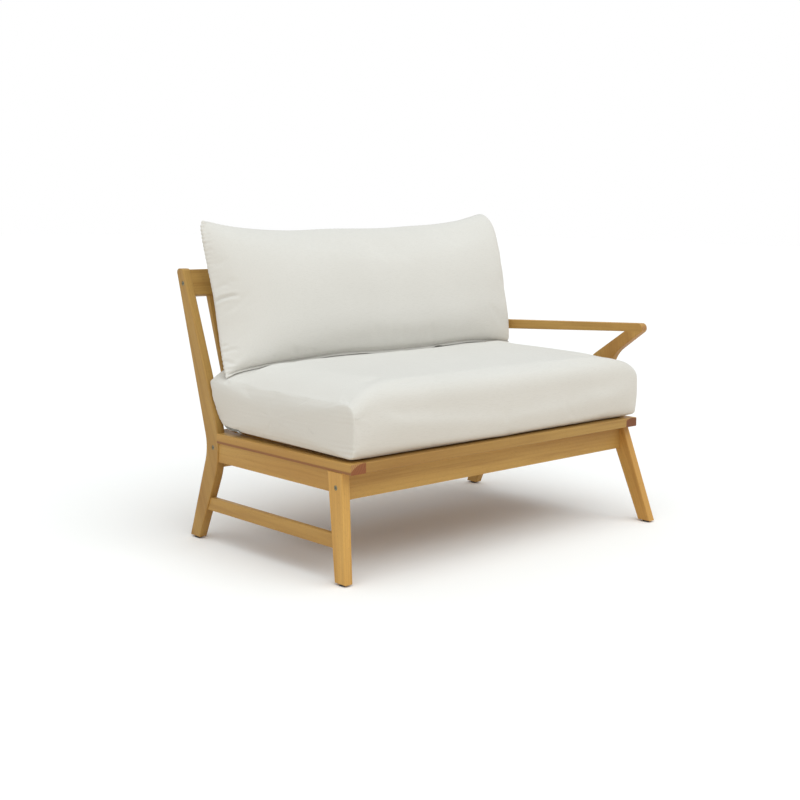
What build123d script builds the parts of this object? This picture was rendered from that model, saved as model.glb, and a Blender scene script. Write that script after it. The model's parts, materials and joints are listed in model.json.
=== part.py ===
from build123d import *
import math
import os

# Outdoor loveseat with one arm: a hardwood frame with a leaning slatted back,
# a seat cushion and a loose back cushion. Millimetres, +Z up, front towards -Y.
# The frame is laid out from the left outer face (x), the front edge of the seat
# boards (y) and the floor (z), and every piece is moved to the middle at the end.

# Overall sizes of the wooden frame
overall_width = 1205.0
overall_depth = 895.0
frame_height = 798.0
foot_reach = 84.0            # the arm side foot stands this far ahead of the boards
post_corner_reach = 4.0      # the post's sharp rear corner, before rounding, stands this far behind
seat_board_top = 328.0

# Timber sections
side_thick = 27.0            # legs, posts, arm and arm support
side_inset = 1.0             # side frames sit this far inside the boards' outer faces
edge_round = 3.0
board_thick = 28.0
board_wide = 52.0
board_round = 2.5
apron_thick = 24.0
apron_tall = 75.0
side_apron_tall = 56.0
side_apron_thick = 20.0
overrun = 10.0               # how far a cutting solid runs past its target

# Glides under the feet
glide_tall = 5.0
glide_radius = 11.0
glide_pin_radius = 3.0
glide_pin_long = 14.0

# Rear post outline in the side view
post_foot_y = 690.0
post_foot_deep = 46.0
post_knee_rear_y = 648.0
post_knee_front_y = 575.0
post_knee_z = 281.0
post_top_deep = 34.0
post_knee_rear_radius = 130.0
post_knee_front_radius = 260.0
post_top_radius = 11.0

# Left front leg outline
leg_top_y = 38.0
leg_top_deep = 59.0
leg_foot_y = 20.0
leg_foot_deep = 43.0

# Right front leg outline, the splayed one under the arm
arm_leg_top_y = 34.0
arm_leg_top_deep = 63.0
arm_leg_foot_deep = 46.0

# Aprons and the boards that lie on them
front_apron_y = 44.0
rear_apron_y = 609.0
front_board_deep = 60.0
rear_board_y = 600.0
rear_board_deep = 50.0
apron_tenon_thick = 10.0
apron_tenon_tall = 24.0
apron_tenon_up = 6.0         # tenon's lower face above the side apron's lower edge

# Side stretcher, on the armless side only
stretcher_low = 94.0
stretcher_tall = 38.5
stretcher_thick = 18.0
stretcher_tenon_thick = 8.0
stretcher_tenon_tall = 26.0

# Seat slats, their ledgers and the bearer under their middle
seat_slat_count = 9
seat_slat_wide = 70.0
seat_slat_thick = 18.0
ledger_thick = 21.0
ledger_tall = 30.0
bearer_y = 322.0
bearer_thick = 30.0
bearer_tall = 45.0
bearer_tenon_long = 8.0
bearer_tenon_thick = 14.0
bearer_tenon_tall = 25.0

# Slatted back: rails and slats lie in one leaning plane
back_base_y = 656.0
back_base_z = 400.0
back_top_y = 793.5
rail_thick = 22.0
top_rail_tall = 80.0
top_rail_drop = 2.0          # the top rail stays this far under the post tops
low_rail_tall = 54.0
low_rail_start = 10.0        # how far the lower rail reaches below the base point
low_rail_tenon_long = 12.0
low_rail_tenon_thick = 10.0
low_rail_tenon_tall = 40.0
back_slat_count = 11
back_slat_wide = 44.0
back_slat_thick = 14.0
back_slat_margin = 50.0
back_slat_tenon = 12.0

# Arm and the support that carries its front end, in the side view
arm_top_front_z = 638.1
arm_top_rear_z = 596.4
arm_low_rear_z = 563.6
arm_point_reach = 70.0       # the two front edges would meet this far ahead of the boards
arm_nose_radius = 16.0
support_corner_y = 39.0      # inner corner, where arm and support meet
support_corner_z = 605.4
support_bend_z = 503.0
support_front_bend_y = 115.0
support_rear_bend_y = 189.0
support_front_radius = 98.0
support_rear_radius = 45.0

# Dowels through the seat board and between support and arm
dowel_radius = 4.0
dowel_deep = 20.0            # into the leg, the support and the arm
dowel_first_y = 60.0
dowel_pitch = 20.0
arm_dowel_y = 22.0
arm_dowel_rise = 14.0        # how far the upper dowel reaches into the arm

# Bolts: round heads in counterbores, barrel nuts in the rails
bolt_head_radius = 6.5
bolt_head_deep = 3.0
bolt_recess_radius = 7.0
bolt_recess_deep = 4.0
bolt_shank_radius = 3.0
bolt_hole_radius = 3.3
bolt_long = 62.0
bolt_socket_radius = 2.9
bolt_socket_deep = 2.0
barrel_radius = 5.0
barrel_hole_radius = 5.2
barrel_long = 12.0
barrel_back = 12.0           # from the bolt's tip back to the barrel's axis
front_bolt_drop = 42.0       # below the aprons' top edge
front_bolt_behind = 6.0      # behind the middle of the front apron
rear_bolt_drop = 16.0
arm_bolt_long = 92.0
arm_bolt_z = 581.0
arm_bolt_sink = 3.0          # extra depth of the counterbore in the leaning post

# Slat screws
screw_head_radius = 4.0
screw_head_tall = 2.5
screw_shank_radius = 2.0
screw_long = 34.0

# Seat cushion: boxed, with a crown and drawn-in sides
cushion_gap = 0.5            # between a cushion and the wood or cushion under it
seat_cushion_left = 10.0
seat_cushion_side_gap = 2.5
seat_front_y = 8.0           # front face at the top seam
seat_low_draw = 17.0         # the front face is drawn in this far at the bottom seam
seat_rear_low_y = 594.0
seat_rear_high_y = 634.0
seat_rim_z = 478.0
seat_corner = 26.0
seat_shoulder = 100.0        # from the front face to the full height
seat_rear_shoulder = 45.0
seat_rise = 30.0             # from the rim to the shoulders
seat_crown = 12.0            # from the shoulders to the middle
seat_end_crown = 3.0         # what is left of the crown at the ends
seat_face_bow = 8.0
seat_shoulder_bow = 5.0
corner_bow_share = 0.2929    # a quarter circle's bow over its radius
seat_end_draw = 14.0
seat_step_shares = (0.0, 0.0275, 0.103, 0.2576, 0.55)  # of half the width, in from each end
seat_fullness_shares = (0.0, 0.15, 0.6, 0.92, 1.0)
seat_core_margin = 34.0
seat_core_skin = 12.0

# Back cushion: knife edged, leaning on the slats and standing on the seat cushion
back_cushion_lean = 17.0
back_seam_y = 597.0
back_seam_z = 490.0
back_cushion_left = 30.0
back_cushion_side_gap = 5.0
back_cushion_tall = 471.0
back_cushion_ahead = 100.0   # fullness in front of the seam plane and behind it
back_cushion_behind = 74.8
back_seam_half = 7.5
back_low_dip = 28.0          # the long seams draw in this far between the corners
back_high_dip = 16.0
back_quarter = 100.0         # from a long seam to the full part
back_quarter_share = 0.78
back_end_bow = 14.0
back_step_shares = (0.0, 0.07, 0.228, 0.525)
back_fullness_shares = (0.0, 0.42, 0.8, 0.98)
back_core_wide_margin = 150.0
back_core_tall_margin = 110.0
back_core_thick = 90.0

# Zips
zip_tall = 7.0
zip_deep = 2.0
zip_up = 24.0                # above the seat cushion's bottom
zip_return = 60.0
back_zip_margin = 120.0
pull_wide = 6.0
pull_long = 16.0
pull_thick = 2.0

# Places worked out from the sizes above
board_low = seat_board_top - board_thick
left_outer = side_inset
left_inner = left_outer + side_thick
right_outer = overall_width - side_inset
right_inner = right_outer - side_thick
side_start_x = {"left": left_outer, "right": right_inner}
rear_limit = overall_depth - foot_reach + post_corner_reach
apron_low = board_low - apron_tall
side_apron_low = board_low - side_apron_tall
front_apron_mid = front_apron_y + apron_thick / 2
rear_apron_mid = rear_apron_y + apron_thick / 2
lean = math.degrees(math.atan2(back_top_y - back_base_y, frame_height - back_base_z))
lean_sin = math.sin(math.radians(lean))
lean_cos = math.cos(math.radians(lean))

to_middle = Location((-overall_width / 2, foot_reach - overall_depth / 2, 0))
made = {}


def keep(name, shape):
    """Moves a finished piece to the middle of the object and notes it under its node name."""
    made[name] = shape.moved(to_middle)


def largest(shape):
    """The biggest solid of a cut piece."""
    return shape.solids().sort_by(SortBy.VOLUME)[-1]


def side_plate(x_near, thick, points, radii, rounding):
    """A plate in the side view: an outline in (y, z) with a radius at each corner, thick along +X."""
    outline = []
    count = len(points)
    for index, (point, radius) in enumerate(zip(points, radii)):
        here = Vector(*point)
        if radius > 0:
            way_in = (Vector(*points[index - 1]) - here).normalized()
            way_out = (Vector(*points[(index + 1) % count]) - here).normalized()
            half = math.radians(way_in.get_angle(way_out)) / 2
            reach = radius / math.tan(half)
            middle = (way_in + way_out).normalized() * (radius / math.sin(half) - radius)
            outline.append((here + way_in * reach, here + middle, here + way_out * reach))
        else:
            outline.append((here,))
    edges = []
    for index, corner in enumerate(outline):
        if len(corner) > 1:
            edges.append(ThreePointArc(*corner))
        edges.append(Line(corner[-1], outline[(index + 1) % count][0]))
    face = make_face([Plane.YZ * edge for edge in edges])
    plate = extrude(face, amount=thick, dir=(1, 0, 0)).moved(Location((x_near, 0, 0)))
    if rounding > 0:
        rims = [edge for edge in plate.edges() if edge.bounding_box().size.X < rounding / 10]
        plate = fillet([edge for edge in rims if edge.length > thick], rounding)
    return plate


def board_between(x0, x1, y0, y1, z0, z1, rounding=0):
    """A board from corner to corner, its long edges rounded."""
    middle = ((x0 + x1) / 2, (y0 + y1) / 2, (z0 + z1) / 2)
    board = Pos(*middle) * Box(x1 - x0, y1 - y0, z1 - z0)
    if rounding > 0:
        longest = max(x1 - x0, y1 - y0, z1 - z0)
        runs = [edge for edge in board.edges() if abs(edge.length - longest) < rounding / 10]
        board = fillet(runs, rounding)
    return board


def rod(start, direction, radius, long):
    """A cylinder from a point along a direction."""
    plane = Plane(origin=start, z_dir=direction)
    return plane * Cylinder(radius, long, align=(Align.CENTER, Align.CENTER, Align.MIN))


def lean_point(along, x):
    """A point of the leaning back's middle plane, at a distance up from its base line."""
    return (x, back_base_y + along * lean_sin, back_base_z + along * lean_cos)


def lean_board(x0, x1, low, high, thick, rounding=0):
    """A board centred on the leaning back's middle plane."""
    board = board_between((x0 - x1) / 2, (x1 - x0) / 2, (low - high) / 2, (high - low) / 2,
                          -thick / 2, thick / 2, rounding)
    middle = lean_point((low + high) / 2, (x0 + x1) / 2)
    return Plane(origin=middle, x_dir=(1, 0, 0), z_dir=(0, -lean_cos, lean_sin)) * board


def bolt_set(face_point, drive, long, barrel_way):
    """A bolt driven in at a face: the bolt, the space cut for it, its barrel nut and that nut's hole."""
    face = Vector(*face_point)
    into = Vector(*drive)
    across = Vector(*barrel_way)
    floor = face + into * bolt_recess_deep
    head_top = floor - into * bolt_head_deep
    head = rod(head_top, into, bolt_head_radius, bolt_head_deep)
    socket = Plane(origin=head_top, z_dir=into) * RegularPolygon(bolt_socket_radius, 6)
    head -= extrude(socket, amount=bolt_socket_deep)
    shank = rod(floor, into, bolt_shank_radius, long - bolt_recess_deep)
    recess = rod(face - into * overrun, into, bolt_recess_radius, bolt_recess_deep + overrun)
    bore = rod(floor, into, bolt_hole_radius, long)
    barrel_start = face + into * (long - barrel_back) - across * (barrel_long / 2)
    barrel = rod(barrel_start, across, barrel_radius, barrel_long) - shank
    barrel_hole = rod(barrel_start, across, barrel_hole_radius, barrel_long + overrun)
    return {"bolt": head + shank, "space": recess + bore, "barrel": barrel, "barrel_hole": barrel_hole}


def bowed_face(x, corners, bows):
    """A face across X: corners in (y, z) counterclockwise, each side bowed out by its own height."""
    edges = []
    for index, (corner, bow) in enumerate(zip(corners, bows)):
        here = Vector(*corner)
        there = Vector(*corners[(index + 1) % len(corners)])
        if bow > 0:
            outward = (there - here).normalized().rotate(Axis.Z, -90)
            edges.append(ThreePointArc(here, (here + there) / 2 + outward * bow, there))
        else:
            edges.append(Line(here, there))
    return Plane(origin=(x, 0, 0), x_dir=(0, 1, 0), z_dir=(1, 0, 0)) * make_face(edges)


# Outlines of posts and legs, each corner with its radius

post_top_y = rear_limit - post_top_deep
post_points = [
    (post_foot_y, glide_tall),
    (post_knee_front_y, post_knee_z),
    (post_top_y, frame_height),
    (rear_limit, frame_height),
    (post_knee_rear_y, post_knee_z),
    (post_foot_y + post_foot_deep, glide_tall),
]
post_radii = [0, post_knee_front_radius, post_top_radius, post_top_radius, post_knee_rear_radius, 0]
leg_points = {
    "left": [
        (leg_foot_y, glide_tall),
        (leg_top_y, board_low),
        (leg_top_y + leg_top_deep, board_low),
        (leg_foot_y + leg_foot_deep, glide_tall),
    ],
    "right": [
        (-foot_reach, glide_tall),
        (arm_leg_top_y, board_low),
        (arm_leg_top_y + arm_leg_top_deep, board_low),
        (arm_leg_foot_deep - foot_reach, glide_tall),
    ],
}
sharp = [0, 0, 0, 0]
posts = {}
legs = {}
plain_posts = {}
plain_legs = {}
for side, x in side_start_x.items():
    posts[side] = side_plate(x, side_thick, post_points, post_radii, edge_round)
    legs[side] = side_plate(x, side_thick, leg_points[side], sharp, edge_round)
    plain_posts[side] = side_plate(x, side_thick, post_points, post_radii, 0)
    plain_legs[side] = side_plate(x, side_thick, leg_points[side], sharp, 0)

# Glides with their pins, and the holes for the pins

foot_middles = {
    "left": leg_foot_y + leg_foot_deep / 2,
    "right": arm_leg_foot_deep / 2 - foot_reach,
}
rear_foot_middle = post_foot_y + post_foot_deep / 2
for side, x in side_start_x.items():
    for end, y in (("front", foot_middles[side]), ("rear", rear_foot_middle)):
        foot_x = x + side_thick / 2
        disc = rod((foot_x, y, 0), (0, 0, 1), glide_radius, glide_tall)
        pin = rod((foot_x, y, glide_tall), (0, 0, 1), glide_pin_radius, glide_pin_long)
        keep(f"{side}_{end}_glide", disc + pin)
        if end == "front":
            legs[side] -= pin
        else:
            posts[side] -= pin

# Aprons and bearer: side aprons are tenoned into leg and post, the bearer into both side aprons

front_apron = board_between(left_inner, right_inner, front_apron_y, front_apron_y + apron_thick,
                            apron_low, board_low)
rear_apron = board_between(left_inner, right_inner, rear_apron_y, rear_apron_y + apron_thick,
                           apron_low, board_low)
apron_x = {"left": left_inner - edge_round - side_apron_thick, "right": right_inner + edge_round}
bearer_left = apron_x["left"] + side_apron_thick
bearer_right = apron_x["right"]
bearer_mid_y = bearer_y + bearer_thick / 2
bearer_mid_z = board_low - bearer_tall / 2
bearer = board_between(bearer_left, bearer_right, bearer_y, bearer_y + bearer_thick,
                       board_low - bearer_tall, board_low)
bearer += board_between(bearer_left - bearer_tenon_long, bearer_right + bearer_tenon_long,
                        bearer_mid_y - bearer_tenon_thick / 2, bearer_mid_y + bearer_tenon_thick / 2,
                        bearer_mid_z - bearer_tenon_tall / 2, bearer_mid_z + bearer_tenon_tall / 2)
keep("seat_bearer", bearer)
apron_front_end = leg_top_y + leg_top_deep / 2
tenon_low = side_apron_low + apron_tenon_up
for side, x in apron_x.items():
    blank = board_between(x, x + side_apron_thick, apron_front_end, rear_apron_mid, side_apron_low, board_low)
    tenon_x = x + (side_apron_thick - apron_tenon_thick) / 2
    tenon = board_between(tenon_x, tenon_x + apron_tenon_thick, apron_front_end, rear_apron_mid,
                          tenon_low, tenon_low + apron_tenon_tall)
    apron = largest(blank - plain_legs[side] - plain_posts[side]) + tenon
    legs[side] -= tenon
    posts[side] -= tenon
    keep(f"{side}_side_apron", apron - bearer)

# Stretcher between the left leg and post, tenoned at both ends

stretcher_start_y = leg_foot_y + leg_foot_deep / 2
stretcher_mid_x = left_outer + side_thick / 2
stretcher_mid_z = stretcher_low + stretcher_tall / 2
stretcher_blank = board_between(stretcher_mid_x - stretcher_thick / 2, stretcher_mid_x + stretcher_thick / 2,
                                stretcher_start_y, post_foot_y,
                                stretcher_low, stretcher_low + stretcher_tall, board_round)
stretcher_tenon = board_between(stretcher_mid_x - stretcher_tenon_thick / 2,
                                stretcher_mid_x + stretcher_tenon_thick / 2,
                                stretcher_start_y, post_foot_y,
                                stretcher_mid_z - stretcher_tenon_tall / 2,
                                stretcher_mid_z + stretcher_tenon_tall / 2)
keep("left_side_stretcher", largest(stretcher_blank - plain_legs["left"] - plain_posts["left"]) + stretcher_tenon)
legs["left"] -= stretcher_tenon
posts["left"] -= stretcher_tenon

# Seat boards: the side boards run from the front edge to the posts, the others lie between

side_boards = {"left": board_between(0, board_wide, 0, rear_board_y, board_low, seat_board_top, board_round)}
side_boards["right"] = side_boards["left"].moved(Location((overall_width - board_wide, 0, 0)))
for side in side_boards:
    side_boards[side] -= plain_posts[side]
inner_left = board_wide
inner_right = overall_width - board_wide
keep("front_seat_board", board_between(inner_left, inner_right, 0, front_board_deep,
                                       board_low, seat_board_top, board_round))
keep("rear_seat_board", board_between(left_inner, right_inner, rear_board_y, rear_board_y + rear_board_deep,
                                      board_low, seat_board_top))

# Seat slats, screwed down onto the two ledgers

ledger_start = {"front": front_apron_y + apron_thick, "rear": rear_apron_y - ledger_thick}
ledgers = {}
for end, y in ledger_start.items():
    ledgers[end] = board_between(inner_left, inner_right, y, y + ledger_thick, board_low - ledger_tall, board_low)
screw_y = {
    "front": ledger_start["front"] + ledger_thick / 2,
    "rear": (ledger_start["rear"] + rear_board_y) / 2,
}
screws = {"front": [], "rear": []}
slat_gap = (inner_right - inner_left - seat_slat_count * seat_slat_wide) / (seat_slat_count + 1)
slat_top = board_low + seat_slat_thick
for number in range(seat_slat_count):
    slat_x = inner_left + slat_gap + number * (seat_slat_wide + slat_gap)
    slat = board_between(slat_x, slat_x + seat_slat_wide, front_board_deep, rear_board_y,
                         board_low, slat_top, board_round)
    for end, y in screw_y.items():
        under_head = (slat_x + seat_slat_wide / 2, y, slat_top - screw_head_tall)
        screw = rod(under_head, (0, 0, 1), screw_head_radius, screw_head_tall)
        screw += rod(under_head, (0, 0, -1), screw_shank_radius, screw_long)
        slat -= screw
        ledgers[end] -= screw
        screws[end].append(screw)
    keep(f"seat_slat_{number + 1}", slat)
for end, ledger in ledgers.items():
    keep(f"{end}_slat_ledger", ledger)
    keep(f"{end}_slat_screws", Compound(screws[end]))

# Slatted back: the lower rail is tenoned into the posts, the slats into both rails

top_rail_high = (frame_height - top_rail_drop - back_base_z - rail_thick / 2 * lean_sin) / lean_cos
top_rail_low = top_rail_high - top_rail_tall
low_rail_high = low_rail_tall - low_rail_start
low_rail_mid = low_rail_high - low_rail_tall / 2
top_rail = lean_board(left_inner, right_inner, top_rail_low, top_rail_high, rail_thick, board_round)
low_rail = lean_board(left_inner, right_inner, -low_rail_start, low_rail_high, rail_thick, board_round)
rail_tenon = lean_board(left_inner - low_rail_tenon_long, right_inner + low_rail_tenon_long,
                        low_rail_mid - low_rail_tenon_tall / 2, low_rail_mid + low_rail_tenon_tall / 2,
                        low_rail_tenon_thick)
low_rail += rail_tenon
for side in posts:
    posts[side] -= rail_tenon
slat_pitch = (right_inner - left_inner - 2 * back_slat_margin - back_slat_wide) / (back_slat_count - 1)
for number in range(back_slat_count):
    slat_x = left_inner + back_slat_margin + number * slat_pitch
    slat = lean_board(slat_x, slat_x + back_slat_wide, low_rail_high - back_slat_tenon,
                      top_rail_low + back_slat_tenon, back_slat_thick, board_round)
    top_rail -= slat
    low_rail -= slat
    keep(f"back_slat_{number + 1}", slat)
keep("back_low_rail", low_rail)

# Arm and its support: one outline in the shape of a 7, parted along the arm's underside

arm_end_share = (arm_top_rear_z - post_knee_z) / (frame_height - post_knee_z)
knee_mid_y = (post_knee_front_y + post_knee_rear_y) / 2
arm_end_y = knee_mid_y + arm_end_share * (rear_limit - post_top_deep / 2 - knee_mid_y)
board_share = board_thick / (support_bend_z - board_low)
support_front_y = arm_leg_top_y + board_share * (support_front_bend_y - arm_leg_top_y)
leg_rear_y = arm_leg_top_y + arm_leg_top_deep
support_rear_y = leg_rear_y + board_share * (support_rear_bend_y - leg_rear_y)
seven_points = [
    (arm_end_y, arm_low_rear_z),
    (support_corner_y, support_corner_z),
    (support_rear_bend_y, support_bend_z),
    (support_rear_y, seat_board_top),
    (support_front_y, seat_board_top),
    (support_front_bend_y, support_bend_z),
    (-arm_point_reach, arm_top_front_z),
    (arm_end_y, arm_top_rear_z),
]
seven_radii = [0, 0, support_rear_radius, 0, 0, support_front_radius, arm_nose_radius, 0]
seven = side_plate(right_inner, side_thick, seven_points, seven_radii, edge_round)
seven = largest(seven - plain_posts["right"])
underside_slope = (support_corner_z - arm_low_rear_z) / (arm_end_y - support_corner_y)
underside_front_z = support_corner_z + underside_slope * (support_corner_y + arm_point_reach)
above_points = [
    (arm_end_y, arm_low_rear_z),
    (arm_end_y, arm_top_front_z),
    (-arm_point_reach, arm_top_front_z),
    (-arm_point_reach, underside_front_z),
]
above = side_plate(right_inner, side_thick, above_points, sharp, 0)
armrest = seven & above
arm_support = seven - above

# Dowels: two stand through the right seat board, one joins support and arm

dowel_x = right_inner + side_thick / 2
dowels = []
for number in range(2):
    dowel_foot = (dowel_x, dowel_first_y + number * dowel_pitch, board_low - dowel_deep)
    dowels.append(rod(dowel_foot, (0, 0, 1), dowel_radius, board_thick + 2 * dowel_deep))
arm_dowel_foot = (dowel_x, arm_dowel_y, support_corner_z - dowel_deep)
dowels.append(rod(arm_dowel_foot, (0, 0, 1), dowel_radius, dowel_deep + arm_dowel_rise))
for dowel in dowels:
    legs["right"] -= dowel
    side_boards["right"] -= dowel
    arm_support -= dowel
    armrest -= dowel
keep("arm_dowels", Compound(dowels))
keep("arm_support", arm_support)
for side, board in side_boards.items():
    keep(f"{side}_seat_board", board)

# Bolts through the side frames into the aprons and the top rail, and one into the arm's rear end

top_bolt = lean_point(top_rail_high - top_rail_tall / 2, 0)
bolt_spots = {
    "front": (front_apron_mid + front_bolt_behind, board_low - front_bolt_drop),
    "rear": (rear_apron_mid, board_low - rear_bolt_drop),
    "top": top_bolt[1:],
}
barrels = []
for side, face_x, drive in (("left", left_outer, (1, 0, 0)), ("right", right_outer, (-1, 0, 0))):
    sets = {spot: bolt_set((face_x, y, z), drive, bolt_long, (0, 1, 0)) for spot, (y, z) in bolt_spots.items()}
    legs[side] -= sets["front"]["space"]
    posts[side] -= sets["rear"]["space"] + sets["top"]["space"]
    front_apron -= sets["front"]["space"] + sets["front"]["barrel_hole"]
    rear_apron -= sets["rear"]["space"] + sets["rear"]["barrel_hole"]
    top_rail -= sets["top"]["space"] + sets["top"]["barrel_hole"]
    barrels += [group["barrel"] for group in sets.values()]
    keep(f"{side}_frame_bolts", Compound([group["bolt"] for group in sets.values()]))
arm_bolt_share = (arm_bolt_z - post_knee_z) / (frame_height - post_knee_z)
arm_bolt_y = post_knee_rear_y + arm_bolt_share * (rear_limit - post_knee_rear_y) - arm_bolt_sink
arm_bolt = bolt_set((dowel_x, arm_bolt_y, arm_bolt_z), (0, -1, 0), arm_bolt_long, (0, 0, -1))
posts["right"] -= arm_bolt["space"]
armrest -= arm_bolt["space"] + arm_bolt["barrel_hole"]
barrels.append(arm_bolt["barrel"])
keep("arm_bolt", arm_bolt["bolt"])
keep("barrel_nuts", Compound(barrels))
keep("armrest", armrest)
keep("front_apron", front_apron)
keep("rear_apron", rear_apron)
keep("back_top_rail", top_rail)
for side in posts:
    keep(f"{side}_rear_post", posts[side])
    keep(f"{side}_front_leg", legs[side])

# Seat cushion: cover with its foam core, and a zip along the lower rear edge

seat_low_z = seat_board_top + cushion_gap
seat_right = right_inner - seat_cushion_side_gap


def seat_section(x, draw, fullness):
    """A cross-section of the seat cushion: its seams drawn in by draw, its crown at a share of the full one."""
    low_z = seat_low_z + 2 * draw
    front_y = seat_front_y + draw
    rim_z = seat_rim_z - draw
    shoulder_z = rim_z + seat_rise * fullness
    corners = [
        (front_y + seat_low_draw, low_z),
        (seat_rear_low_y - draw, low_z),
        (seat_rear_high_y - draw, rim_z),
        (seat_rear_high_y - seat_rear_shoulder - draw, shoulder_z),
        (front_y + seat_shoulder, shoulder_z),
        (front_y + seat_corner, rim_z),
        (front_y, rim_z - seat_corner),
    ]
    corner_bow = corner_bow_share * seat_corner
    crown_bow = seat_crown * fullness + seat_end_crown
    bows = [0, 0, seat_shoulder_bow, crown_bow, seat_shoulder_bow, corner_bow, seat_face_bow]
    return bowed_face(x, corners, bows)


def mirrored_stations(left, right, step_shares, fullness_shares):
    """Places along X with their shares of the fullness, from both ends inwards."""
    half = (right - left) / 2
    stations = [(left + half * step, share) for step, share in zip(step_shares, fullness_shares)]
    return stations + [(left + right - x, share) for x, share in reversed(stations)]


seat_faces = []
for x, share in mirrored_stations(seat_cushion_left, seat_right, seat_step_shares, seat_fullness_shares):
    seat_faces.append(seat_section(x, 0 if share > 0 else seat_end_draw, share))
seat_cushion = loft(seat_faces)
seat_cushion &= board_between(seat_cushion_left - overrun, seat_right + overrun, -overrun, rear_limit,
                              seat_low_z, frame_height)
seat_core = board_between(seat_cushion_left + seat_core_margin, seat_right - seat_core_margin,
                          seat_front_y + seat_core_margin, seat_rear_low_y - seat_core_margin,
                          seat_low_z + seat_core_skin, seat_rim_z - seat_core_skin)
zip_low = seat_low_z + zip_up
zip_band = board_between(seat_cushion_left - overrun, seat_right + overrun,
                         seat_rear_low_y - zip_return, seat_rear_high_y, zip_low, zip_low + zip_tall)
zip_layer = seat_cushion & zip_band
under_zip = zip_layer
for shift in ((0, -zip_deep, 0), (zip_deep, 0, 0), (-zip_deep, 0, 0)):
    under_zip = under_zip & zip_layer.moved(Location(shift))
seat_zip = zip_layer - under_zip
zip_box = seat_zip.bounding_box()
seat_pull = board_between(zip_box.min.X - pull_thick / 2, zip_box.min.X + pull_thick / 2,
                          zip_box.min.Y, zip_box.min.Y + pull_wide,
                          zip_low + zip_tall - pull_long, zip_low + zip_tall)
seat_zip = seat_zip - seat_pull
keep("seat_cushion_core", seat_core)
keep("seat_cushion_zip", seat_zip)
keep("seat_cushion_zip_pull", seat_pull)
keep("seat_cushion_cover", seat_cushion - seat_core - seat_zip - seat_pull)

# Back cushion: cover with its filling core, and a zip along the lower seam

back_right = right_inner - back_cushion_side_gap
tilt_sin = math.sin(math.radians(back_cushion_lean))
tilt_cos = math.cos(math.radians(back_cushion_lean))


def cushion_point(along, ahead):
    """A point (y, z) of the back cushion: up along its lean, ahead of its seam plane."""
    y = back_seam_y + along * tilt_sin - ahead * tilt_cos
    z = back_seam_z + along * tilt_cos + ahead * tilt_sin
    return (y, z)


def back_section(x, fullness):
    """A cross-section of the back cushion at a share of its full thickness."""
    low = back_low_dip * fullness
    high = back_cushion_tall - back_high_dip * fullness
    behind = back_seam_half + (back_cushion_behind - back_seam_half) * fullness
    ahead = back_seam_half + (back_cushion_ahead - back_seam_half) * fullness
    rear_quarter = back_seam_half + (behind - back_seam_half) * back_quarter_share
    front_quarter = back_seam_half + (ahead - back_seam_half) * back_quarter_share
    corners = [
        cushion_point(low, -back_seam_half),
        cushion_point(low + back_quarter, -rear_quarter),
        cushion_point(high - back_quarter, -rear_quarter),
        cushion_point(high, -back_seam_half),
        cushion_point(high, back_seam_half),
        cushion_point(high - back_quarter, front_quarter),
        cushion_point(low + back_quarter, front_quarter),
        cushion_point(low, back_seam_half),
    ]
    end_bow = back_end_bow * fullness
    bows = [end_bow, behind - rear_quarter, end_bow, 0, end_bow, ahead - front_quarter, end_bow, 0]
    return bowed_face(x, corners, bows)


def tilted_box(x0, x1, low, high, behind, ahead):
    """A box in the back cushion's own lean."""
    box = board_between((x0 - x1) / 2, (x1 - x0) / 2, (low - high) / 2, (high - low) / 2, -behind, ahead)
    middle = ((x0 + x1) / 2, *cushion_point((low + high) / 2, 0))
    return Plane(origin=middle, x_dir=(1, 0, 0), z_dir=(0, -tilt_cos, tilt_sin)) * box


back_faces = []
for x, share in mirrored_stations(back_cushion_left, back_right, back_step_shares, back_fullness_shares):
    back_faces.append(back_section(x, share))
back_cushion = loft(back_faces)
back_core = tilted_box(back_cushion_left + back_core_wide_margin, back_right - back_core_wide_margin,
                       back_core_tall_margin, back_cushion_tall - back_core_tall_margin,
                       back_core_thick / 2, back_core_thick / 2)
seam_band = back_cushion & tilted_box(back_cushion_left + back_zip_margin, back_right - back_zip_margin,
                                      0, back_quarter, zip_tall / 2, zip_tall / 2)
back_zip = seam_band - seam_band.moved(Location((0, zip_deep * tilt_sin, zip_deep * tilt_cos)))
pull_at = back_zip.bounding_box().min.X
back_pull = back_cushion & tilted_box(pull_at, pull_at + pull_long, 0, back_low_dip, pull_wide / 2, pull_wide / 2)
back_zip = back_zip - back_pull
keep("back_cushion_core", back_core)
keep("back_cushion_zip", back_zip)
keep("back_cushion_zip_pull", back_pull)
keep("back_cushion_cover", back_cushion - back_core - back_zip - back_pull)

os.makedirs("parts", exist_ok=True)
for name, piece in made.items():
    export_step(piece, f"parts/{name}.step")
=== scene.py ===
import json
import math
import bmesh
import bpy
import numpy as np
from mathutils import Matrix, Vector
from mathutils.bvhtree import BVHTree


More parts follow.
